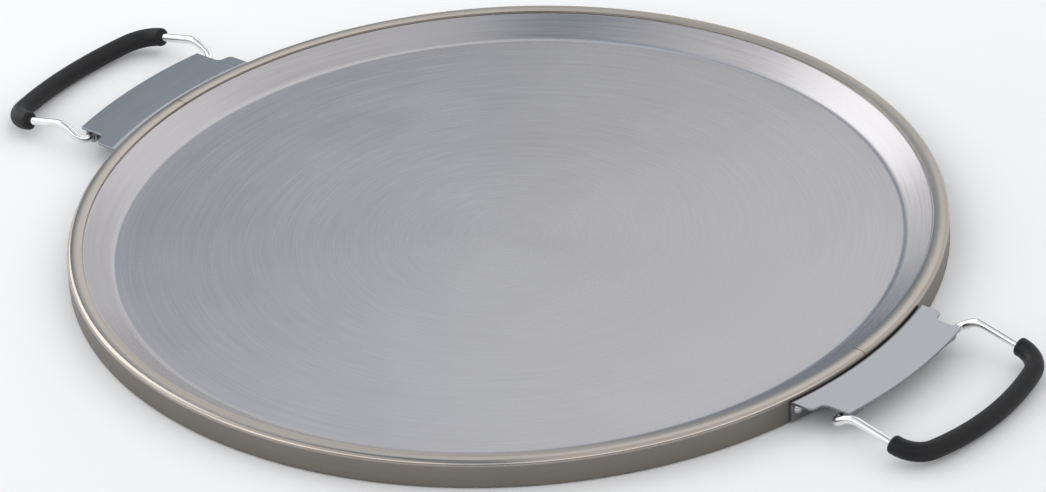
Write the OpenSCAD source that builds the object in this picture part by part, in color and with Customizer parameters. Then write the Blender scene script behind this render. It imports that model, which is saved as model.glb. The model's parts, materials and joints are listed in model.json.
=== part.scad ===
// Round steel baking pan with two folding bail handles.
// +Z is up, the pan stands on z = 0, its centre is x = y = 0 and the handles lie along +X and -X.
// The two halves of the outer ring meet on the handle line, under the brackets.

/* [Ring] */
// Outer diameter of the ring
ring_d = 320; // [280:1:400]
// Height of the ring from the table to its flat top
ring_h = 11; // [9.5:0.1:20]
// Width of the flat top band, measured in from the outer wall
band_w = 5.6; // [4.5:0.1:9]
// Width of the flange that the ring stands on
foot_w = 7; // [4.5:0.1:12]
// Thickness of the ring's sheet
ring_t = 0.8; // [0.5:0.1:1]
// Outside radius of the rounded top edge
edge_r = 1.8; // [1.2:0.1:2.2]
// Outside radius of the bend at the foot
foot_r = 1.3; // [1.1:0.1:1.8]
// Gap between the two half rings at each seam
seam_gap = 0.3; // [0.1:0.05:1]

/* [Baking plate] */
// Thickness of the plate's sheet
plate_t = 0.8; // [0.6:0.1:1]
// Depth of the cooking floor below the lip
dish_depth = 6; // [3:0.1:6.5]
// Width of the sloping margin between lip and floor
margin_w = 9.5; // [6:0.1:20]
// Radius of the bend between margin and floor
floor_r = 5; // [2:0.5:8]
// Part of the lip that shows inside the band
lip_show = 0.6; // [0.3:0.1:3]
// Gap between the plate's skirt and the ring's wall
skirt_gap = 0.1; // [0.05:0.05:0.3]
// Gap between the skirt's lower edge and the bend of the ring's foot
skirt_lift = 0.2; // [0.1:0.1:1]

/* [Brackets] */
// Thickness of the bracket's sheet
bracket_t = 1; // [0.8:0.1:1.2]
// Reach of the bracket beyond the ring's wall
bracket_reach = 20.3; // [19:0.1:30]
// Drop of the bracket's top below the ring's top
bracket_drop = 1.6; // [0.5:0.1:2]
// Length of the wide part beside the ring, along the handle's width
shoulder_w = 77; // [75:0.5:100]
// Length of the bracket's outer part, along the handle's width
neck_w = 66.4; // [60:0.5:72]
// How far the wide part reaches out from the ring's wall
shoulder_reach = 8.2; // [7:0.1:9]
// Radius of the curves in the stepped ends
step_r = 2.6; // [1:0.1:3]
// Outside radius of the bend between top and flange
bend_r = 1.8; // [1.3:0.1:3]
// Height of the flange's lower edge above the table
flange_z = 1; // [0.5:0.1:3]
// Gap between the flange and the ring's wall
flange_gap = 0.05; // [0.02:0.01:0.2]

/* [Rivets] */
// Diameter of a rivet's shank
rivet_d = 2.4; // [1.6:0.1:3]
// Diameter of a rivet's round head
rivet_head_d = 4.2; // [3.4:0.1:5]
// Height of a rivet's round head
rivet_head_h = 1.1; // [0.6:0.1:1.5]
// Thickness of a rivet's flat tail, inside the plate's skirt
rivet_tail_h = 0.7; // [0.5:0.1:1.2]
// Diameter of a rivet's flat tail
rivet_tail_d = 3.8; // [3.2:0.1:4.4]
// Height of the rivets above the table
rivet_z = 5.2; // [4:0.1:6]
// Distance of the outer rivets from the flange's ends
rivet_end = 3.6; // [3:0.1:8]
// Distance of the inner rivets from the seam
rivet_seam = 9; // [4:0.5:20]
// Clearance round a rivet's shank
rivet_gap = 0.05; // [0.02:0.01:0.2]

/* [Hinges] */
// Distance of the hinge line from the ring's wall
hinge_reach = 13.3; // [12:0.1:14.5]
// Length of each rolled knuckle
knuckle_l = 9.5; // [6:0.5:14]
// How far a knuckle's outer end lies inside the bracket's end
knuckle_in = 0.8; // [0.4:0.1:2]
// Depth by which a knuckle's round outside is sunk into the bracket's top sheet
knuckle_sink = 0.6; // [0.3:0.1:0.7]
// Running clearance between pin and knuckle
pin_gap = 0.1; // [0.05:0.01:0.1]

/* [Bails] */
// Diameter of the wire
wire_d = 3.2; // [2.8:0.1:3.6]
// Bend radius of the elbow beside a knuckle, at the wire's centre
elbow_r = 4; // [3:0.1:4.4]
// Distance of each leg's centre beyond the bracket's end
leg_over = 4.6; // [4.4:0.1:8]
// Distance along the legs from the hinge line to the middle of the crossbar, at the wire's centre
bail_l = 40.2; // [37:0.1:60]
// Bend radius of the bail's corners, at the wire's centre
corner_r = 11; // [9:0.5:18]
// Radius of the crossbar's outward bow, at the wire's centre
bow_r = 120; // [80:1:400]
// Length of pin beyond a knuckle's inner end
pin_over = 0.8; // [0.3:0.1:2]
// Angle by which the wire rises from each elbow before it bends over into the leg
crank_deg = 45; // [35:1:50]
// Bend radius where the wire bends over into the leg, at the wire's centre
crank_r = 9; // [7:0.5:11]
// Length of the straight rise between an elbow and that bend
crank_l = 2; // [0.5:0.1:3]

/* [Grips] */
// Diameter of the rubber grip
grip_d = 7; // [6:0.1:8]
// Length of the grip on each leg, before the corner
grip_lead = 1.5; // [1.5:0.1:6]
// Radius of the rounded ends of the grip
grip_round = 1.2; // [0.5:0.1:1.4]
// Gap between grip and wire
grip_gap = 0.05; // [0.02:0.01:0.2]
// Height of the lowered grip above the table
grip_lift = 0.2; // [0.1:0.1:2]

/* [Hidden] */

// Smoothness of round faces, and number of steps in a drawn curve
round_fn = 96;
arc_n = 8;
// Depth by which a cut runs past the face that it opens
cut_over = 1;
// Straight bars run this far into the bends, whose tubes are this much slimmer in radius
bend_lap = 0.2;
bend_step = 0.02;

ring_r = ring_d / 2;
band_in_r = ring_r - band_w;
foot_in_r = ring_r - foot_w;
seam_deg = 90 * seam_gap / (PI * ring_r);

// Baking plate: lip under the band, skirt inside the wall, margin sloping to the floor
skirt_r = ring_r - ring_t - skirt_gap;
skirt_z = foot_r + skirt_lift;
lip_z = ring_h - ring_t;
lip_in_r = band_in_r - lip_show;
skirt_bend_r = max(edge_r - ring_t - skirt_gap, 0.2) + plate_t;
floor_z = lip_z - dish_depth;
slope_deg = atan2(dish_depth, margin_w);
floor_rim_r = lip_in_r - margin_w;
floor_tangent = floor_r * tan(slope_deg / 2);
under_drop = plate_t * tan(slope_deg / 2);

// Bracket
flange_r = ring_r + flange_gap;
bracket_z = ring_h - bracket_drop;
bracket_under_z = bracket_z - bracket_t;
bracket_out_r = ring_r + bracket_reach;
shoulder_y = shoulder_w / 2;
neck_y = neck_w / 2;
flange_deg = asin(shoulder_y / flange_r);
shoulder_x = ring_r + shoulder_reach - step_r - (ring_r - sqrt(pow(ring_r, 2) - pow(shoulder_y, 2))) / 2;
step_span = shoulder_y - neck_y;
step_use_r = min(step_r, step_span / 2);

// Rivets
rivet_out_deg = flange_deg - rivet_end / flange_r * 180 / PI;
rivet_in_deg = rivet_seam / flange_r * 180 / PI;
rivet_degs = [-rivet_out_deg, -rivet_in_deg, rivet_in_deg, rivet_out_deg];
rivet_hole_r = rivet_d / 2 + rivet_gap;
// A flat tail stands off the curved skirt by the rise of the curve under it
tail_gap = pow(rivet_tail_d / 2, 2) / ring_r;

// Hinge
pin_r = wire_d / 2;
bore_r = pin_r + pin_gap;
knuckle_r = bore_r + bracket_t;
hinge_x = ring_r + hinge_reach;
hinge_z = bracket_under_z + knuckle_sink - knuckle_r;
knuckle_out_y = neck_y - knuckle_in;
knuckle_in_y = knuckle_out_y - knuckle_l;

// Bail centre line. Its legs and crossbar lie in one plane, crank_h above the hinge line
leg_y = neck_y + leg_over;
elbow_y = leg_y - elbow_r;
crank_x = (elbow_r + crank_l) * cos(crank_deg) + crank_r * sin(crank_deg);
crank_h = (elbow_r + crank_l) * sin(crank_deg) + crank_r * (1 - cos(crank_deg));
bow_x = bail_l - bow_r;
corner_y = leg_y - corner_r;
corner_x = bow_x + sqrt(pow(bow_r - corner_r, 2) - pow(corner_y, 2));
bow_deg = atan2(corner_y, corner_x - bow_x);
grip_x = corner_x - grip_lead;
// The lowered bail slopes down until its grip is grip_lift above the table
droop_deg = atan2(crank_h, bail_l)
    - asin((grip_d / 2 + grip_lift - hinge_z) / norm([bail_l, crank_h]));

function arc(centre, radius, from_deg, to_deg) =
    [for (i = [0:arc_n]) let (a = from_deg + (to_deg - from_deg) * i / arc_n)
        centre + radius * [cos(a), sin(a)]];

function flip(points) = [for (i = [len(points) - 1:-1:0]) [points[i][0], -points[i][1]]];

// ---- ring ----

// Section of the ring: top band, rounded edge, upright wall, foot flange
module ring_section() {
    top = [ring_r - edge_r, ring_h - edge_r];
    foot = [ring_r - foot_r, foot_r];
    polygon(concat(
        [[band_in_r, ring_h]], arc(top, edge_r, 90, 0), arc(foot, foot_r, 0, -90), [[foot_in_r, 0]],
        [[foot_in_r, ring_t]], arc(foot, foot_r - ring_t, -90, 0),
        arc(top, edge_r - ring_t, 0, 90), [[band_in_r, ring_h - ring_t]]));
}

// One hole for each rivet of the bracket on the +X side, drilled through every sheet there
module rivet_holes() {
    for (a = rivet_degs)
        rotate([0, 0, a]) translate([skirt_r - plate_t - cut_over, 0, rivet_z]) rotate([0, 90, 0])
            cylinder(r = rivet_hole_r, h = flange_r + bracket_t - skirt_r + plate_t + 2 * cut_over,
                     $fn = 32);
}

// Half of the ring, from the +X seam round to the -X seam
module half_ring() {
    difference() {
        rotate([0, 0, seam_deg]) rotate_extrude(angle = 180 - 2 * seam_deg, $fn = 2 * round_fn)
            ring_section();
        rivet_holes();
        rotate([0, 0, 180]) rivet_holes();
    }
}

module front_half_ring() {
    color([0.62, 0.61, 0.59]) rotate([0, 0, 180]) half_ring();
}

module rear_half_ring() {
    color([0.60, 0.60, 0.60]) half_ring();
}

// ---- baking plate ----

// Section of the plate: floor, sloping margin, lip under the band, skirt inside the wall
module plate_section() {
    bend = [skirt_r - skirt_bend_r, lip_z - skirt_bend_r];
    floor_bend = [floor_rim_r - floor_tangent, floor_z + floor_r];
    polygon(concat(
        [[0, floor_z]], arc(floor_bend, floor_r, -90, slope_deg - 90), [[lip_in_r, lip_z]],
        arc(bend, skirt_bend_r, 90, 0), [[skirt_r, skirt_z], [skirt_r - plate_t, skirt_z]],
        arc(bend, skirt_bend_r - plate_t, 0, 90),
        [[lip_in_r + under_drop, lip_z - plate_t]],
        arc(floor_bend, floor_r + plate_t, slope_deg - 90, -90),
        [[0, floor_z - plate_t]]));
}

module baking_plate() {
    color([0.72, 0.71, 0.74]) difference() {
        rotate_extrude($fn = 2 * round_fn) plate_section();
        rivet_holes();
        rotate([0, 0, 180]) rivet_holes();
    }
}

// ---- brackets ----

// One stepped end of the bracket, on the +Y side, from the ring outwards
function bracket_end() = concat(
    [[ring_r / 2, shoulder_y]],
    arc([shoulder_x, shoulder_y - step_use_r], step_use_r, 90, 0),
    arc([shoulder_x + 2 * step_use_r, neck_y + step_use_r], step_use_r, 180, 270),
    [[bracket_out_r + cut_over, neck_y]]);

// Section of the bracket: upright flange against the ring, bend, flat top
module bracket_section() {
    bend = [flange_r + bend_r, bracket_z - bend_r];
    polygon(concat(
        [[flange_r, flange_z]], arc(bend, bend_r, 180, 90),
        [[bracket_out_r, bracket_z], [bracket_out_r, bracket_under_z]],
        arc(bend, bend_r - bracket_t, 90, 180), [[flange_r + bracket_t, flange_z]]));
}

// The bent sheet, its ends cut to their steps
module bracket_sheet() {
    intersection() {
        rotate([0, 0, -2 * flange_deg]) rotate_extrude(angle = 4 * flange_deg, $fn = 2 * round_fn)
            bracket_section();
        linear_extrude(ring_h) polygon(concat(bracket_end(), flip(bracket_end())));
    }
}

// A tube along Y between two distances from the middle, at the hinge line
module hinge_tube(radius, y_from, y_to) {
    translate([hinge_x, y_to, hinge_z]) rotate([90, 0, 0])
        cylinder(r = radius, h = y_to - y_from, $fn = 48);
}

module bracket() {
    difference() {
        union() {
            bracket_sheet();
            hinge_tube(knuckle_r, knuckle_in_y, knuckle_out_y);
            hinge_tube(knuckle_r, -knuckle_out_y, -knuckle_in_y);
        }
        hinge_tube(bore_r, knuckle_in_y - cut_over, knuckle_out_y + cut_over);
        hinge_tube(bore_r, -knuckle_out_y - cut_over, -knuckle_in_y + cut_over);
        rivet_holes();
    }
}

module right_bracket() {
    color([0.68, 0.70, 0.73]) bracket();
}

module left_bracket() {
    color([0.52, 0.55, 0.59]) rotate([0, 0, 180]) bracket();
}

// ---- rivets ----

// Section of a rivet, drawn along its axis from the tail to the round head
module rivet_section() {
    grip_l = flange_r + bracket_t - skirt_r + plate_t;
    head_r = rivet_head_d / 2;
    tail_r = rivet_tail_d / 2;
    ball_r = (pow(head_r, 2) + pow(rivet_head_h, 2)) / (2 * rivet_head_h);
    polygon(concat(
        [[0, -rivet_tail_h], [tail_r, -rivet_tail_h], [tail_r, -tail_gap], [rivet_d / 2, -tail_gap],
         [rivet_d / 2, grip_l]],
        arc([0, grip_l + rivet_head_h - ball_r], ball_r, acos(head_r / ball_r), 90)));
}

module bracket_rivets() {
    for (a = rivet_degs)
        rotate([0, 0, a]) translate([skirt_r - plate_t, 0, rivet_z]) rotate([0, 90, 0])
            rotate_extrude($fn = 32) rivet_section();
}

module right_bracket_rivets() {
    color([0.82, 0.82, 0.84]) bracket_rivets();
}

module left_bracket_rivets() {
    color([0.82, 0.82, 0.84]) rotate([0, 0, 180]) bracket_rivets();
}

// ---- bails ----

// The frame of a lowered bail: X along its legs, Y along the hinge line
module at_hinge() {
    translate([hinge_x, 0, hinge_z]) rotate([0, droop_deg, 0]) children();
}

// Part of a ring of round section lying flat, between two angles about its own centre
module flat_bend(centre, radius, tube_r, from_deg, to_deg) {
    translate([centre[0], centre[1], 0]) rotate([0, 0, from_deg])
        rotate_extrude(angle = to_deg - from_deg, $fn = round_fn)
            translate([radius, 0]) circle(r = tube_r, $fn = 32);
}

// A straight round bar along X
module straight_bar(y, tube_r, x_from, x_to) {
    translate([x_from, y, 0]) rotate([0, 90, 0]) cylinder(r = tube_r, h = x_to - x_from, $fn = 32);
}

// Elbow beside a knuckle and the straight rise after it, on the side y > 0 or y < 0
module rising_elbow(side) {
    rotate([0, -crank_deg, 0]) {
        flat_bend([elbow_r, side * elbow_y], elbow_r, pin_r - bend_step, 180 - 45 * (1 + side),
                  180 + 45 * (1 - side));
        straight_bar(side * leg_y, pin_r, elbow_r - bend_lap, elbow_r + crank_l + bend_lap);
    }
}

// The bend from the rise over into the leg
module crank_bend(side) {
    translate([crank_x, side * leg_y, crank_h - crank_r]) rotate([90, 0, 0])
        flat_bend([0, 0], crank_r, pin_r - bend_step, 90, 90 + crank_deg);
}

// A leg, from the given distance to its corner
module leg(side, tube_r, x_from) {
    translate([0, 0, crank_h]) straight_bar(side * leg_y, tube_r, x_from, corner_x + bend_lap);
}

// Everything that bows round the fingers: two corners and the crossbar
module bail_front(tube_r) {
    lap_deg = bend_lap / bow_r * 180 / PI;
    translate([0, 0, crank_h]) {
        flat_bend([corner_x, corner_y], corner_r, tube_r - bend_step, bow_deg, 90);
        flat_bend([corner_x, -corner_y], corner_r, tube_r - bend_step, -90, -bow_deg);
        flat_bend([bow_x, 0], bow_r, tube_r, -bow_deg - lap_deg, bow_deg + lap_deg);
    }
}

module bail() {
    at_hinge() {
        for (side = [-1, 1]) {
            rising_elbow(side);
            crank_bend(side);
            leg(side, pin_r, crank_x - bend_lap);
        }
        bail_front(pin_r);
    }
    hinge_tube(pin_r, knuckle_in_y - pin_over, elbow_y + bend_lap);
    hinge_tube(pin_r, -elbow_y - bend_lap, -knuckle_in_y + pin_over);
}

module right_bail() {
    color([0.86, 0.87, 0.88]) bail();
}

module left_bail() {
    color([0.86, 0.87, 0.88]) rotate([0, 0, 180]) bail();
}

// ---- grips ----

// Rounded end of a grip, a short stretch of sleeve along the leg
module grip_end(side) {
    end_l = grip_lead + bend_lap;
    translate([grip_x, side * leg_y, crank_h]) rotate([0, 90, 0]) rotate_extrude($fn = 48)
        polygon(concat(
            [[0, 0]], arc([grip_d / 2 - grip_round, grip_round], grip_round, -90, 0),
            [[grip_d / 2, end_l], [0, end_l]]));
}

module grip() {
    at_hinge() difference() {
        union() {
            grip_end(1);
            grip_end(-1);
            bail_front(grip_d / 2);
        }
        leg(1, pin_r + grip_gap, grip_x - cut_over);
        leg(-1, pin_r + grip_gap, grip_x - cut_over);
        bail_front(pin_r + grip_gap);
    }
}

module right_grip() {
    color([0.13, 0.13, 0.14]) grip();
}

module left_grip() {
    color([0.13, 0.13, 0.14]) rotate([0, 0, 180]) grip();
}

baking_plate();
front_half_ring();
rear_half_ring();
right_bracket();
left_bracket();
right_bracket_rivets();
left_bracket_rivets();
right_bail();
left_bail();
right_grip();
left_grip();
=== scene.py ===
"""Looks of a round steel baking pan with two folding bail handles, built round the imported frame.

Lengths are in metres. Each handle is drawn once, on the +X side, and turned half a turn for -X.
"""

import json
import math

import bmesh
import bpy
from mathutils import Matrix, Vector


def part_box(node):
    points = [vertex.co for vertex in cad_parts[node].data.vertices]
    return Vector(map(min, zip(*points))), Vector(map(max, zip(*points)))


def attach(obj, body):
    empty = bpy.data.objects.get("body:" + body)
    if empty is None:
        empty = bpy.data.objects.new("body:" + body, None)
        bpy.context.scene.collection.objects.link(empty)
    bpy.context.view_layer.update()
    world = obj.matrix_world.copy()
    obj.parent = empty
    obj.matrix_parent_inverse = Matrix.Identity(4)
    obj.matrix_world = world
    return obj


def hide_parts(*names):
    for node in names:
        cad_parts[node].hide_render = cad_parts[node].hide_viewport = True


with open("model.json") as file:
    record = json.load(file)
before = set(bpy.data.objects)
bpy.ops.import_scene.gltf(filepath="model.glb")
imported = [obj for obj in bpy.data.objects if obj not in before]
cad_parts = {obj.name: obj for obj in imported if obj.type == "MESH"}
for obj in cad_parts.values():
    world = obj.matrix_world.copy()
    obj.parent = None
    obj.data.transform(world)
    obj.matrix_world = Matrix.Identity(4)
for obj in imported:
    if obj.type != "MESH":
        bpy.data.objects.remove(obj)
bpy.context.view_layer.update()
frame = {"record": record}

MM = 0.001
HALF_TURN = Matrix.Rotation(math.pi, 4, "Z")

# ---- sizes of the object, the frame's own where it gives them ----

# Small round on every cut edge of the sheets, and where its middle lies, as a share of its radius
CUT_ROUND = 0.12 * MM
CUT_MIDDLE = 0.3

# Ring: a channel of sheet, in two halves
ring_low, ring_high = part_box("rear_half_ring")
RING_R = ring_high.x
RING_H = ring_high.z
SEAM_HALF = ring_low.y
RING_SHEET = 0.8 * MM
BAND_W = 5.6 * MM
FOOT_W = 7 * MM
EDGE_R = 1.8 * MM
FOOT_R = 1.3 * MM

# Baking plate
plate_low, plate_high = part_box("baking_plate")
SKIRT_R = plate_high.x
LIP_Z = plate_high.z
SKIRT_Z = plate_low.z
PLATE_SHEET = 0.8 * MM
DISH_DEPTH = 6 * MM
MARGIN_W = 9.5 * MM
LIP_SHOW = 0.6 * MM
LIP_ROUND = 1.2 * MM
FLOOR_BEND_R = 5 * MM
SKIRT_BEND_R = 1.7 * MM
# Radii of the rings of points on the flat floor
FLOOR_RINGS = [r * MM for r in range(0, 137, 8)]

# Brackets
bracket_low, bracket_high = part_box("right_bracket")
BRACKET_Z = bracket_high.z
FLANGE_Z = bracket_low.z
SHOULDER_Y = bracket_high.y
BRACKET_SHEET = 1 * MM
FLANGE_GAP = 0.05 * MM
FLANGE_R = RING_R + FLANGE_GAP
BRACKET_BEND_R = 1.8 * MM
BRACKET_OUT_R = RING_R + 20.3 * MM
NECK_Y = 33.2 * MM
STEP_R = 2.6 * MM
SHOULDER_REACH = 8.2 * MM

# Hinges: the bail's pins turn in tabs of the bracket that are rolled round them
HINGE = Vector(next(j for j in frame["record"]["behaviour"]["joints"]
                    if j["child"] == "right_handle")["pos_m"])
WIRE_R = 1.58 * MM
BORE_R = 1.7 * MM
KNUCKLE_R = BORE_R + BRACKET_SHEET
KNUCKLE_OUT_Y = NECK_Y - 0.8 * MM
KNUCKLE_L = 9.5 * MM
KNUCKLE_FROM_DEG = 100
KNUCKLE_WRAP_DEG = 318
PIN_OVER = 0.8 * MM

# Bails: each leg rises from its elbow by the crank and then runs straight to its corner
ELBOW_R = 4 * MM
LEG_Y = NECK_Y + 4.6 * MM
BAIL_L = 40.2 * MM
CORNER_R = 11 * MM
BOW_R = 120 * MM
WIRE_END_ROUND = 0.4 * MM
CRANK_DEG = 45
CRANK_ANGLE = math.radians(CRANK_DEG)
CRANK_R = 9 * MM
CRANK_L = 2 * MM
CRANK_X = (ELBOW_R + CRANK_L) * math.cos(CRANK_ANGLE) + CRANK_R * math.sin(CRANK_ANGLE)
CRANK_H = (ELBOW_R + CRANK_L) * math.sin(CRANK_ANGLE) + CRANK_R * (1 - math.cos(CRANK_ANGLE))

# Grips
GRIP_R = 3.5 * MM
GRIP_LEAD = 1.5 * MM
GRIP_ROUND = 1.2 * MM
# The sleeve's last whole ring of points lies this far before its rounded end starts
GRIP_ROUND_LEAD = 0.1 * MM
GRIP_LIFT = 0.2 * MM
# The lowered bail slopes down until its grip is GRIP_LIFT above the table
DROOP = math.atan2(CRANK_H, BAIL_L) - math.asin(
    (GRIP_R + GRIP_LIFT - HINGE.z) / math.hypot(BAIL_L, CRANK_H))

# Rivets
RIVET_R = 1.2 * MM
RIVET_HEAD_R = 2.1 * MM
RIVET_HEAD_H = 1.1 * MM
RIVET_TAIL_R = 1.9 * MM
RIVET_TAIL_H = 0.7 * MM
RIVET_Z = 5.2 * MM
RIVET_END = 3.6 * MM
RIVET_SEAM = 9 * MM

# ---- smoothness: steps in a curve and sides of a bar ----

RING_STEPS = 256
PLATE_STEPS = 512
RIVET_STEPS = 32
RIVET_DOME_STEPS = 12
EDGE_STEPS = 16
FOOT_STEPS = 12
BEND_STEPS = 10
INNER_BEND_STEPS = 8
LIP_STEPS = 6
CORNER_STEPS = 24
BRACKET_ROWS = 72
BRACKET_WIDTH_STEPS = 48
KNUCKLE_STEPS = 36
BORE_STEPS = 30
CRANK_STEPS = 12
WIRE_STEPS, WIRE_SIDES, WIRE_END_STEPS = 16, 36, 6
GRIP_STEPS, GRIP_SIDES, GRIP_END_STEPS = 20, 44, 8
# Halvings in the search for the place where an outline reaches a radius
HALVINGS = 40

# Points closer than this are one point
MELT = 0.002 * MM
# Edges sharper than these, in degrees, are creased on sheets, creased on bars and bevelled
SHEET_CREASE_DEG = 35
BAR_CREASE_DEG = 60
BEVEL_FROM_DEG = 50

# ---- mesh helpers ----


def arc(centre, radius, from_deg, to_deg, steps):
    """Points on a flat arc, as (first, second) coordinate pairs."""
    angles = [math.radians(from_deg + (to_deg - from_deg) * i / steps) for i in range(steps + 1)]
    return [(centre[0] + radius * math.cos(a), centre[1] + radius * math.sin(a)) for a in angles]


def ringed(rows, cap=True):
    """A tube through rows of points that each run round it, closed at its ends if it has a cap."""
    count = len(rows[0])
    vertices = [point for row in rows for point in row]
    faces = [(a * count + b, a * count + (b + 1) % count, (a + 1) * count + (b + 1) % count,
              (a + 1) * count + b) for a in range(len(rows) - 1) for b in range(count)]
    if cap:
        faces.append(tuple(reversed(range(count))))
        faces.append(tuple(range((len(rows) - 1) * count, len(rows) * count)))
    return vertices, faces


def lathe(section, from_deg, to_deg, steps):
    """A closed section of (radius, height) points turned about Z."""
    whole = to_deg - from_deg == 360
    rows = []
    for i in range(steps if whole else steps + 1):
        a = math.radians(from_deg + (to_deg - from_deg) * i / steps)
        rows.append([(r * math.cos(a), r * math.sin(a), z) for r, z in section])
    if whole:
        rows.append(rows[0])
    return ringed(rows, cap=not whole)


def tube(path, radius, end_round, sides, end_steps):
    """A round bar along a path that is never upright, its ends rounded over."""
    points = [Vector(p) for p in path]
    rows = []

    def ring(at, tangent, r):
        side = tangent.cross(Vector((0, 0, 1))).normalized()
        over = side.cross(tangent)
        turns = (2 * math.pi * k / sides for k in range(sides))
        rows.append([at + side * (r * math.cos(t)) + over * (r * math.sin(t)) for t in turns])

    def end(at, inward, along, angles):
        for a in angles:
            ring(at + inward * end_round * (1 - math.cos(a)), along,
                 radius - end_round * (1 - math.sin(a)))

    quarter = [math.pi / 2 * i / end_steps for i in range(end_steps + 1)]
    first = (points[1] - points[0]).normalized()
    last = (points[-1] - points[-2]).normalized()
    end(points[0], first, first, quarter)
    for before, here, after in zip(points, points[1:], points[2:]):
        if min((here - points[0]).length, (here - points[-1]).length) > end_round:
            tangent = ((after - here).normalized() + (here - before).normalized()).normalized()
            ring(here, tangent, radius)
    end(points[-1], -last, last, reversed(quarter))
    return ringed(rows)


def moved(parts, matrix):
    vertices, faces = parts
    return [matrix @ Vector(v) for v in vertices], faces


def joined(*parts):
    vertices, faces = [], []
    for some_vertices, some_faces in parts:
        start = len(vertices)
        vertices.extend(some_vertices)
        faces.extend(tuple(start + k for k in face) for face in some_faces)
    return vertices, faces


def add_piece(name, parts, material, node, body, crease_deg=SHEET_CREASE_DEG):
    """A finished piece that stands for a CAD node and rides on that node's body."""
    mesh = bpy.data.meshes.new(name)
    vertices, faces = parts
    mesh.from_pydata([tuple(v) for v in vertices], [], faces)
    shape = bmesh.new()
    shape.from_mesh(mesh)
    bmesh.ops.remove_doubles(shape, verts=shape.verts, dist=MELT)
    bmesh.ops.recalc_face_normals(shape, faces=shape.faces)
    shape.to_mesh(mesh)
    shape.free()
    mesh.shade_smooth()
    mesh.set_sharp_from_angle(angle=math.radians(crease_deg))
    mesh.materials.append(material)
    piece = bpy.data.objects.new(name, mesh)
    bpy.context.collection.objects.link(piece)
    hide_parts(node)
    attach(piece, body)
    return piece


# ---- shader helpers ----


def start_material(name):
    material = bpy.data.materials.new(name)
    material.use_nodes = True
    tree = material.node_tree
    return material, tree, tree.nodes["Principled BSDF"]


def fed(tree, kind, *values):
    """A new node whose inputs are set to plain values or linked to other nodes' outputs."""
    node = tree.nodes.new(kind)
    for socket, value in zip(node.inputs, values):
        if isinstance(value, bpy.types.NodeSocket):
            tree.links.new(value, socket)
        else:
            socket.default_value = value
    return node


def math_node(tree, operation, *values):
    node = fed(tree, "ShaderNodeMath", *values)
    node.operation = operation
    return node.outputs["Value"]


def vector_math(tree, operation, first, second):
    node = fed(tree, "ShaderNodeVectorMath", first, second)
    node.operation = operation
    return node.outputs["Value" if operation == "DOT_PRODUCT" else "Vector"]


def times(tree, first, second):
    return math_node(tree, "MULTIPLY", first, second)


def noise_node(tree, vector, scale, detail, w=None):
    node = tree.nodes.new("ShaderNodeTexNoise")
    node.inputs["Scale"].default_value = scale
    node.inputs["Detail"].default_value = detail
    tree.links.new(vector, node.inputs["Vector"])
    if w is not None:
        node.noise_dimensions = "4D"
        tree.links.new(w, node.inputs["W"])
    return node.outputs["Fac"]


def ramp_node(tree, factor, *stops):
    """A colour that follows a factor through (position, colour) stops."""
    node = tree.nodes.new("ShaderNodeValToRGB")
    ramp = node.color_ramp
    while len(ramp.elements) < len(stops):
        ramp.elements.new(0.5)
    for element, (position, colour) in zip(ramp.elements, stops):
        element.position = position
        element.color = (*colour, 1)
    tree.links.new(factor, node.inputs["Fac"])
    return node.outputs["Color"]


def grey(value):
    return (value, value, value)


def position_of(tree):
    return tree.nodes.new("ShaderNodeTexCoord").outputs["Object"]


def add_bump(tree, shader, height, strength, depth):
    bump = tree.nodes.new("ShaderNodeBump")
    bump.inputs["Strength"].default_value = strength
    bump.inputs["Distance"].default_value = depth
    tree.links.new(height, bump.inputs["Height"])
    tree.links.new(bump.outputs["Normal"], shader.inputs["Normal"])


# ---- materials ----

GRAIN_DETAIL = 3.0
# Inside this radius the round grain no longer turns, so that nothing is divided by zero
GRAIN_CORE_R = 1 * MM
SMUDGE_SCALE = 28.0
SMUDGE_DETAIL = 4.0
# Shares of grain lines and smudges in a sheet's tone
GRAIN_SHARE = 0.6
SMUDGE_SHARE = 0.4
SHEET_BUMP_STRENGTH = 0.25
# Shares of the ring's height up to which a piece gets its full painted shade, and from which it gets none
FULL_SHADE_UP_TO = 0.80
NO_SHADE_FROM = 0.90
# Roughness that a wall would gain where its painted shade tone is zero
WALL_ROUGHNESS = 0.5

CHROME_CLOUD_SCALE = 160.0
RUBBER_CLOUD_SCALE = 60.0
RUBBER_SKIN_SCALE = 2600.0
RUBBER_SKIN_DETAIL = 2.0
RUBBER_DARK, RUBBER_LIGHT = (0.006, 0.006, 0.007), (0.011, 0.011, 0.012)
RUBBER_SPECULAR = 0.3
RUBBER_BUMP_STRENGTH = 0.12
RUBBER_BUMP_DEPTH = 0.05 * MM
CLOUD_DETAIL = 3.0


def round_grain(tree, across, along):
    """Grain that runs in circles round Z: fine across the circles, long along them, with no join."""
    x, y, z = fed(tree, "ShaderNodeSeparateXYZ", position_of(tree)).outputs
    radius = math_node(tree, "SQRT", math_node(tree, "ADD", times(tree, x, x), times(tree, y, y)))
    safe_radius = math_node(tree, "MAXIMUM", radius, GRAIN_CORE_R)
    place = fed(tree, "ShaderNodeCombineXYZ",
                times(tree, math_node(tree, "DIVIDE", x, safe_radius), along),
                times(tree, math_node(tree, "DIVIDE", y, safe_radius), along),
                times(tree, radius, across))
    return noise_node(tree, place.outputs["Vector"], 1.0, GRAIN_DETAIL, w=times(tree, z, across))


def straight_grain(tree, across, along):
    """Grain that runs along Y."""
    place = vector_math(tree, "MULTIPLY", position_of(tree), (across, along, across))
    return noise_node(tree, place, 1.0, GRAIN_DETAIL)


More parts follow.
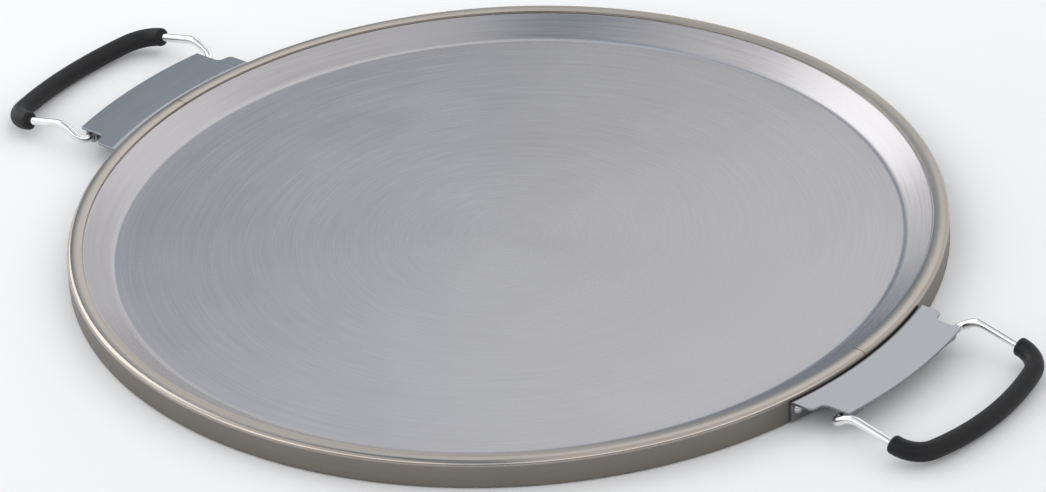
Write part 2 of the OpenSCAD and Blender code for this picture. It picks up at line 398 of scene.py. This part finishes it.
def paint_shade_below(tree, tone):
    """Painted shade: upright walls and what hangs below them are darker than the faces on top, by a tone
    that fades out towards the top.
    """
    height = fed(tree, "ShaderNodeSeparateXYZ", position_of(tree)).outputs["Z"]
    share = math_node(tree, "DIVIDE", height, RING_H)
    return ramp_node(tree, share, (FULL_SHADE_UP_TO, grey(tone)), (NO_SHADE_FROM, grey(1)))


def steel(name, colour, roughness, grain, across, along, bump_depth, spread=0.05, contrast=0.06,
          anisotropy=0.0, painted_wall_shade=1.0):
    """Stainless sheet: grain lines, faint cloudy smudges, a little bump, and walls darkened by painted
    shade and made rougher.
    """
    material, tree, shader = start_material(name)
    shader.inputs["Metallic"].default_value = 1.0
    lines = grain(tree, across, along)
    smudges = noise_node(tree, position_of(tree), SMUDGE_SCALE, SMUDGE_DETAIL)
    mix = math_node(tree, "ADD", times(tree, lines, GRAIN_SHARE), times(tree, smudges, SMUDGE_SHARE))
    # Painted shade: walls and parts below the top faces get a darker base colour
    painted_shade = paint_shade_below(tree, painted_wall_shade)

    dark = [c * (1 - contrast) for c in colour]
    light = [c * (1 + contrast) for c in colour]
    tone = ramp_node(tree, mix, (0.35, dark), (0.65, light))
    tree.links.new(vector_math(tree, "MULTIPLY", tone, painted_shade), shader.inputs["Base Color"])

    rough = ramp_node(tree, mix, (0.3, grey(roughness - spread)), (0.7, grey(roughness + spread)))
    wall_rough = times(tree, math_node(tree, "SUBTRACT", 1.0, painted_shade), WALL_ROUGHNESS)
    tree.links.new(math_node(tree, "ADD", rough, wall_rough), shader.inputs["Roughness"])

    add_bump(tree, shader, lines, SHEET_BUMP_STRENGTH, bump_depth)
    if anisotropy:
        shader.inputs["Anisotropic"].default_value = anisotropy
        tangent = tree.nodes.new("ShaderNodeTangent")
        tangent.direction_type = "RADIAL"
        tangent.axis = "Z"
        tree.links.new(tangent.outputs[0], shader.inputs["Tangent"])
    return material


def chrome(name):
    material, tree, shader = start_material(name)
    shader.inputs["Metallic"].default_value = 1.0
    clouds = noise_node(tree, position_of(tree), CHROME_CLOUD_SCALE, CLOUD_DETAIL)
    tree.links.new(ramp_node(tree, clouds, (0.3, grey(0.78)), (0.7, grey(0.88))),
                   shader.inputs["Base Color"])
    tree.links.new(ramp_node(tree, clouds, (0.3, grey(0.05)), (0.75, grey(0.12))),
                   shader.inputs["Roughness"])
    return material


def rubber(name):
    """Smooth satin rubber with a fine moulded skin."""
    material, tree, shader = start_material(name)
    shader.inputs["Specular IOR Level"].default_value = RUBBER_SPECULAR
    clouds = noise_node(tree, position_of(tree), RUBBER_CLOUD_SCALE, CLOUD_DETAIL)
    tree.links.new(ramp_node(tree, clouds, (0.3, RUBBER_DARK), (0.7, RUBBER_LIGHT)),
                   shader.inputs["Base Color"])
    tree.links.new(ramp_node(tree, clouds, (0.3, grey(0.46)), (0.7, grey(0.56))),
                   shader.inputs["Roughness"])
    skin = noise_node(tree, position_of(tree), RUBBER_SKIN_SCALE, RUBBER_SKIN_DETAIL)
    add_bump(tree, shader, skin, RUBBER_BUMP_STRENGTH, RUBBER_BUMP_DEPTH)
    return material


# Part of this steel's warm tint is its own colour and part is painted reflection of warm surroundings
RING_STEEL = steel("ring_steel", colour=(0.45, 0.415, 0.37), roughness=0.2, grain=round_grain,
                   # Painted shade: the upright wall below the band is darkened to half
                   across=2600, along=5, bump_depth=0.008 * MM, spread=0.04, painted_wall_shade=0.5)
PLATE_STEEL = steel("plate_steel", colour=(0.47, 0.46, 0.47), roughness=0.25, grain=round_grain,
                    across=1500, along=4, bump_depth=0.006 * MM, anisotropy=0.45)
BRACKET_STEEL = steel("bracket_steel", colour=(0.51, 0.52, 0.545), roughness=0.11, grain=straight_grain,
                      across=1500, along=40, bump_depth=0.003 * MM, spread=0.03, contrast=0.03,
                      # Painted shade: the flange and the rolled tabs below the top sheet are darkened to
                      # half
                      painted_wall_shade=0.5)
RIVET_STEEL = steel("rivet_steel", colour=(0.62, 0.62, 0.63), roughness=0.18, grain=straight_grain,
                    across=900, along=900, bump_depth=0.01 * MM)
CHROME = chrome("chrome_wire")
RUBBER = rubber("black_rubber")

# ---- ring ----


def ring_section():
    """Channel section: top band, rounded edge, upright wall, foot flange."""
    top = (RING_R - EDGE_R, RING_H - EDGE_R)
    foot = (RING_R - FOOT_R, FOOT_R)
    band_in, foot_in = RING_R - BAND_W, RING_R - FOOT_W
    cut, middle = CUT_ROUND, CUT_ROUND * CUT_MIDDLE
    section = [(band_in, RING_H - cut), (band_in + middle, RING_H - middle), (band_in + cut, RING_H)]
    section += arc(top, EDGE_R, 90, 0, EDGE_STEPS) + arc(foot, FOOT_R, 0, -90, FOOT_STEPS)
    section += [(foot_in + cut, 0), (foot_in, cut), (foot_in, RING_SHEET)]
    section += arc(foot, FOOT_R - RING_SHEET, -90, 0, INNER_BEND_STEPS)
    section += arc(top, EDGE_R - RING_SHEET, 0, 90, BEND_STEPS)
    section += [(band_in + cut, RING_H - RING_SHEET), (band_in, RING_H - RING_SHEET + cut)]
    return section


def make_ring():
    seam_deg = math.degrees(SEAM_HALF / RING_R)
    half = lathe(ring_section(), seam_deg, 180 - seam_deg, RING_STEPS)
    add_piece("rear_ring_shell", half, RING_STEEL, "rear_half_ring", "pan")
    add_piece("front_ring_shell", moved(half, HALF_TURN), RING_STEEL, "front_half_ring", "pan")


# ---- baking plate ----


def plate_section():
    """Pressed sheet: floor, sloping margin, lip under the band, skirt inside the wall."""
    lip_in = RING_R - BAND_W - LIP_SHOW
    floor_z = LIP_Z - DISH_DEPTH
    slope_deg = math.degrees(math.atan2(DISH_DEPTH, MARGIN_W))
    tangent = math.tan(math.radians(slope_deg / 2))
    bend = (SKIRT_R - SKIRT_BEND_R, LIP_Z - SKIRT_BEND_R)
    floor_bend = (lip_in - MARGIN_W - FLOOR_BEND_R * tangent, floor_z + FLOOR_BEND_R)
    lip_bend = (lip_in + LIP_ROUND * tangent, LIP_Z - LIP_ROUND)
    section = [(r, floor_z) for r in FLOOR_RINGS]
    section += arc(floor_bend, FLOOR_BEND_R, -90, slope_deg - 90, BEND_STEPS)
    section += arc(lip_bend, LIP_ROUND, 90 + slope_deg, 90, LIP_STEPS)
    section += arc(bend, SKIRT_BEND_R, 90, 0, BEND_STEPS)
    section += [(SKIRT_R, SKIRT_Z), (SKIRT_R - PLATE_SHEET, SKIRT_Z)]
    section += arc(bend, SKIRT_BEND_R - PLATE_SHEET, 0, 90, INNER_BEND_STEPS)
    section += [(lip_in + PLATE_SHEET * tangent, LIP_Z - PLATE_SHEET)]
    section += arc(floor_bend, FLOOR_BEND_R + PLATE_SHEET, slope_deg - 90, -90, BEND_STEPS)
    section += [(r, floor_z - PLATE_SHEET) for r in reversed(FLOOR_RINGS)]
    return section


def make_plate():
    plate = lathe(plate_section(), 0, 360, PLATE_STEPS)
    add_piece("pressed_plate", plate, PLATE_STEEL, "baking_plate", "pan")


# ---- brackets ----


def bracket_end():
    """The bracket's stepped +Y end seen from above, from the ring outwards."""
    chord_drop = RING_R - math.sqrt(RING_R ** 2 - SHOULDER_Y ** 2)
    step_x = RING_R + SHOULDER_REACH - STEP_R - chord_drop / 2
    outline = [(0, SHOULDER_Y)]
    outline += arc((step_x, SHOULDER_Y - STEP_R), STEP_R, 90, 0, CORNER_STEPS)
    outline += arc((step_x + 2 * STEP_R, NECK_Y + STEP_R), STEP_R, 180, 270, CORNER_STEPS)
    return outline + [(2 * RING_R, NECK_Y)]


def half_width(outline, r):
    """Half width of the bracket, along Y, where its end lies r from the pan's centre."""
    (x0, y0), (x1, y1) = next((start, stop) for start, stop in zip(outline, outline[1:])
                              if math.hypot(*start) <= r <= math.hypot(*stop))
    low, high = 0.0, 1.0
    for _ in range(HALVINGS):
        middle = (low + high) / 2
        inside = math.hypot(x0 + (x1 - x0) * middle, y0 + (y1 - y0) * middle) < r
        low, high = (middle, high) if inside else (low, middle)
    return y0 + (y1 - y0) * low


def bracket_sheet():
    """The bent sheet: rows of points from the flange's foot over the bend to the outer edge."""
    outline = bracket_end()
    bend = (FLANGE_R + BRACKET_BEND_R, BRACKET_Z - BRACKET_BEND_R)
    reach = [bend[0] + (BRACKET_OUT_R - bend[0]) * i / BRACKET_ROWS for i in range(1, BRACKET_ROWS + 1)]

    def face(depth):
        """The sheet's line in section at a depth below its upper face: flange, bend and top."""
        line = [(FLANGE_R + depth, FLANGE_Z)]
        line += arc(bend, BRACKET_BEND_R - depth, 180, 90, BEND_STEPS)
        return line + [(r, BRACKET_Z - depth) for r in reach]

    def row(r, z):
        """Points over the sheet's width, on a circle round the pan's centre."""
        half_angle = math.asin(half_width(outline, r) / r)
        shares = (2 * i / BRACKET_WIDTH_STEPS - 1 for i in range(BRACKET_WIDTH_STEPS + 1))
        return [(r * math.cos(half_angle * s), r * math.sin(half_angle * s), z) for s in shares]

    return ringed([row(*upper) + row(*under)[::-1] for upper, under in zip(face(0), face(BRACKET_SHEET))])


def knuckle(middle_y):
    """A tab rolled round the pin, open by a slit at its top, under the bracket's sheet."""
    from_deg, to_deg = KNUCKLE_FROM_DEG, KNUCKLE_FROM_DEG + KNUCKLE_WRAP_DEG
    section = arc((0, 0), KNUCKLE_R, from_deg, to_deg, KNUCKLE_STEPS)
    section += arc((0, 0), BORE_R, to_deg, from_deg, BORE_STEPS)
    return ringed([[(HINGE.x + x, middle_y + y, HINGE.z + z) for x, z in section]
                   for y in (-KNUCKLE_L / 2, KNUCKLE_L / 2)])


def make_bracket(side, turn):
    middle = KNUCKLE_OUT_Y - KNUCKLE_L / 2
    parts = joined(bracket_sheet(), knuckle(middle), knuckle(-middle))
    piece = add_piece(side + "_bracket_sheet", moved(parts, turn), BRACKET_STEEL, side + "_bracket",
                      "pan")
    bevel = piece.modifiers.new("cut edges", "BEVEL")
    bevel.width = CUT_ROUND
    bevel.segments = 2
    bevel.limit_method = "ANGLE"
    bevel.angle_limit = math.radians(BEVEL_FROM_DEG)
    bevel.harden_normals = True


# ---- rivets ----


def rivet_profile():
    """Half section of a rivet along its axis: tail, shank, round head."""
    grip = FLANGE_R + BRACKET_SHEET - (SKIRT_R - PLATE_SHEET)
    ball = (RIVET_HEAD_R ** 2 + RIVET_HEAD_H ** 2) / (2 * RIVET_HEAD_H)
    edge_deg = math.degrees(math.acos(RIVET_HEAD_R / ball))
    tail_z = -RIVET_TAIL_R ** 2 / RING_R
    profile = [(0, -RIVET_TAIL_H), (RIVET_TAIL_R - CUT_ROUND, -RIVET_TAIL_H),
               (RIVET_TAIL_R, -RIVET_TAIL_H + CUT_ROUND), (RIVET_TAIL_R, tail_z), (RIVET_R, tail_z),
               (RIVET_R, grip)]
    return profile + arc((0, grip + RIVET_HEAD_H - ball), ball, edge_deg, 90, RIVET_DOME_STEPS)


def make_rivets(side, turn):
    flange_deg = math.degrees(math.asin(SHOULDER_Y / FLANGE_R))
    outer = flange_deg - math.degrees(RIVET_END / FLANGE_R)
    inner = math.degrees(RIVET_SEAM / FLANGE_R)
    lying = Matrix.Translation((SKIRT_R - PLATE_SHEET, 0, RIVET_Z)) @ Matrix.Rotation(math.pi / 2, 4, "Y")
    one = moved(lathe(rivet_profile(), 0, 360, RIVET_STEPS), lying)
    parts = joined(*(moved(one, Matrix.Rotation(math.radians(a), 4, "Z"))
                     for a in (-outer, -inner, inner, outer)))
    add_piece(side + "_rivet_heads", moved(parts, turn), RIVET_STEEL, side + "_bracket_rivets", "pan")


# ---- bails and grips, drawn in the lowered bail's own frame: X along its legs ----

BAIL_FRAME = Matrix.Translation(HINGE) @ Matrix.Rotation(DROOP, 4, "Y")


def half_front(steps):
    """Centre line from the middle of the crossbar to the end of the +Y corner."""
    bow_x = BAIL_L - BOW_R
    corner_y = LEG_Y - CORNER_R
    corner_x = bow_x + math.sqrt((BOW_R - CORNER_R) ** 2 - corner_y ** 2)
    bow_deg = math.degrees(math.atan2(corner_y, corner_x - bow_x))
    flat = arc((bow_x, 0), BOW_R, 0, bow_deg, steps)
    flat += arc((corner_x, corner_y), CORNER_R, bow_deg, 90, steps)[1:]
    return [(x, y, CRANK_H) for x, y in flat]


def half_crank(steps):
    """Centre line from the start of the +Y leg down to the pin's inner end."""
    path = [(x, LEG_Y, z)
            for x, z in arc((CRANK_X, CRANK_H - CRANK_R), CRANK_R, 90, 90 + CRANK_DEG, steps)]
    path += [(along * math.cos(CRANK_ANGLE), y, along * math.sin(CRANK_ANGLE))
             for along, y in arc((ELBOW_R, LEG_Y - ELBOW_R), ELBOW_R, 90, 180, steps)]
    return path + [(0, KNUCKLE_OUT_Y - KNUCKLE_L - PIN_OVER, 0)]


def bail_bar(half, radius, end_round, sides, end_steps):
    """A bar along a whole centre line, given its +Y half from the middle outwards."""
    path = [(x, -y, z) for x, y, z in reversed(half)] + half[1:]
    return moved(tube(path, radius, end_round, sides, end_steps), BAIL_FRAME)


def make_bail(side, turn):
    half = half_front(WIRE_STEPS) + half_crank(CRANK_STEPS)
    parts = bail_bar(half, WIRE_R, WIRE_END_ROUND, WIRE_SIDES, WIRE_END_STEPS)
    add_piece(side + "_bail_wire", moved(parts, turn), CHROME, side + "_bail", side + "_handle",
              crease_deg=BAR_CREASE_DEG)


def make_grip(side, turn):
    half = half_front(GRIP_STEPS)
    end_x = half[-1][0]
    half += [(end_x - GRIP_LEAD + step, LEG_Y, CRANK_H) for step in (GRIP_ROUND + GRIP_ROUND_LEAD, 0)]
    parts = bail_bar(half, GRIP_R, GRIP_ROUND, GRIP_SIDES, GRIP_END_STEPS)
    add_piece(side + "_grip_sleeve", moved(parts, turn), RUBBER, side + "_grip", side + "_handle",
              crease_deg=BAR_CREASE_DEG)


# ---- camera, fitted to the rim's ellipse in a 1046 x 492 picture ----

PICTURE_WIDTH = 1046
CAMERA_DISTANCE = 2.5
CAMERA_FOCAL_PX = 6883
CAMERA_AZIMUTH = 40.3
CAMERA_ELEVATION = 31.24
CAMERA_ROLL = -3.49
# The pan's centre lies this far right of and below the picture's middle
CENTRE_RIGHT_PX = -14.1
CENTRE_DOWN_PX = -0.3
SENSOR_MM = 36.0


def turned(vector, axis, angle):
    return Matrix.Rotation(angle, 3, axis) @ vector


def make_camera():
    azimuth, elevation = math.radians(CAMERA_AZIMUTH), math.radians(CAMERA_ELEVATION)
    back = Vector((math.sin(azimuth) * math.cos(elevation), -math.cos(azimuth) * math.cos(elevation),
                   math.sin(elevation)))
    right = Vector((math.cos(azimuth), math.sin(azimuth), 0))
    forward = -back
    up = right.cross(forward)
    yaw = math.atan2(CENTRE_RIGHT_PX, CAMERA_FOCAL_PX)
    pitch = math.atan2(CENTRE_DOWN_PX, CAMERA_FOCAL_PX)
    forward, right = turned(forward, up, yaw), turned(right, up, yaw)
    forward, up = turned(forward, right, pitch), turned(up, right, pitch)
    roll = math.radians(CAMERA_ROLL)
    right, up = (right * math.cos(roll) + up * math.sin(roll),
                 up * math.cos(roll) - right * math.sin(roll))
    data = bpy.data.cameras.new("camera")
    data.sensor_width = SENSOR_MM
    data.lens = CAMERA_FOCAL_PX * SENSOR_MM / PICTURE_WIDTH
    camera = bpy.data.objects.new("camera", data)
    axes = Matrix((right, up, -forward)).transposed().to_4x4()
    camera.matrix_world = Matrix.Translation(back * CAMERA_DISTANCE) @ axes
    bpy.context.collection.objects.link(camera)
    bpy.context.scene.camera = camera


def from_camera(right, away, up):
    """A place given as seen from the camera's side: to the right, away and up, in metres."""
    a = math.radians(CAMERA_AZIMUTH)
    return (right * math.cos(a) - away * math.sin(a), right * math.sin(a) + away * math.cos(a), up)


# ---- floor and light ----

FLOOR_SIZE = 6.0
FLOOR_TONE = 0.93
FLOOR_ROUGHNESS = 0.95

# Soft panels of light: name, place as seen from the camera's side, width, height, power in watts
PANELS = (("key", (-1.15, 0.95, 0.9), 1.3, 1.3, 6.6),
          ("left", (-1.45, -0.4, 0.45), 1.4, 0.6, 2),
          ("back", (0.15, 0.50, 0.52), 0.8, 0.36, 0.29))

# The tent round the pan: its dim part, its pale part and the cool strip on the left
ROOM_TONE = (0.26, 0.26, 0.27)
TENT_TONE = (0.86, 0.86, 0.87)
SWEEP_LEFT = (0.34, 0.40, 0.47)
WINDOW_GLOW = 0.85


def make_floor():
    bpy.ops.mesh.primitive_plane_add(size=FLOOR_SIZE)
    floor = bpy.context.object
    floor.name = "floor"
    material, _, shader = start_material("floor_paper")
    shader.inputs["Base Color"].default_value = (*grey(FLOOR_TONE), 1)
    shader.inputs["Roughness"].default_value = FLOOR_ROUGHNESS
    floor.data.materials.append(material)


def make_panel(name, place, width, height, power):
    """A panel of light that faces the pan."""
    location = Vector(from_camera(*place))
    data = bpy.data.lights.new(name, "AREA")
    data.shape = "RECTANGLE"
    data.size = width
    data.size_y = height
    data.energy = power
    light = bpy.data.objects.new(name, data)
    light.location = location
    light.rotation_mode = "QUATERNION"
    light.rotation_quaternion = (-location).to_track_quat("-Z", "Y")
    bpy.context.collection.objects.link(light)


def direction_share(tree, direction, axis, gain, start):
    """How far a direction points along an axis, scaled and shifted for a ramp."""
    dot = vector_math(tree, "DOT_PRODUCT", direction, axis)
    return math_node(tree, "ADD", times(tree, dot, gain), start)


def make_world():
    """A soft studio tent: pale above and behind, dim low on the camera's side, with a cool dark strip on
    the left and a long window of light round the camera's side."""
    world = bpy.data.worlds.new("studio")
    bpy.context.scene.world = world
    world.use_nodes = True
    tree = world.node_tree
    off, full = grey(0), grey(1)
    direction = tree.nodes.new("ShaderNodeTexCoord").outputs["Generated"]
    sideways = direction_share(tree, direction, from_camera(1, 0, 0), gain=1.5, start=0.5)
    behind = direction_share(tree, direction, from_camera(0, 1, 0), gain=1.0, start=0.5)
    upward = direction_share(tree, direction, (0, 0, 1), gain=1.0, start=0.0)

    pale = math_node(tree, "MAXIMUM", ramp_node(tree, behind, (0.35, off), (0.75, full)),
                     ramp_node(tree, upward, (0.15, off), (0.60, full)))
    level = ramp_node(tree, pale, (0.0, ROOM_TONE), (1.0, TENT_TONE))
    sweep = ramp_node(tree, sideways, (0.0, full), (0.15, SWEEP_LEFT), (0.43, SWEEP_LEFT), (0.53, full))
    tent = vector_math(tree, "MULTIPLY", level, sweep)

    window = times(tree, ramp_node(tree, behind, (0.30, full), (0.60, off)),
                   ramp_node(tree, upward, (0.22, off), (0.36, full), (0.54, full), (0.68, off)))
    glow = times(tree, window, WINDOW_GLOW)
    tree.links.new(vector_math(tree, "ADD", tent, glow), tree.nodes["Background"].inputs["Color"])


# ---- build it all ----

make_ring()
make_plate()
for handle_side, handle_turn in (("right", Matrix.Identity(4)), ("left", HALF_TURN)):
    make_bracket(handle_side, handle_turn)
    make_rivets(handle_side, handle_turn)
    make_bail(handle_side, handle_turn)
    make_grip(handle_side, handle_turn)

make_camera()
make_floor()
for panel in PANELS:
    make_panel(*panel)
make_world()
bpy.context.scene.view_settings.view_transform = "Standard"
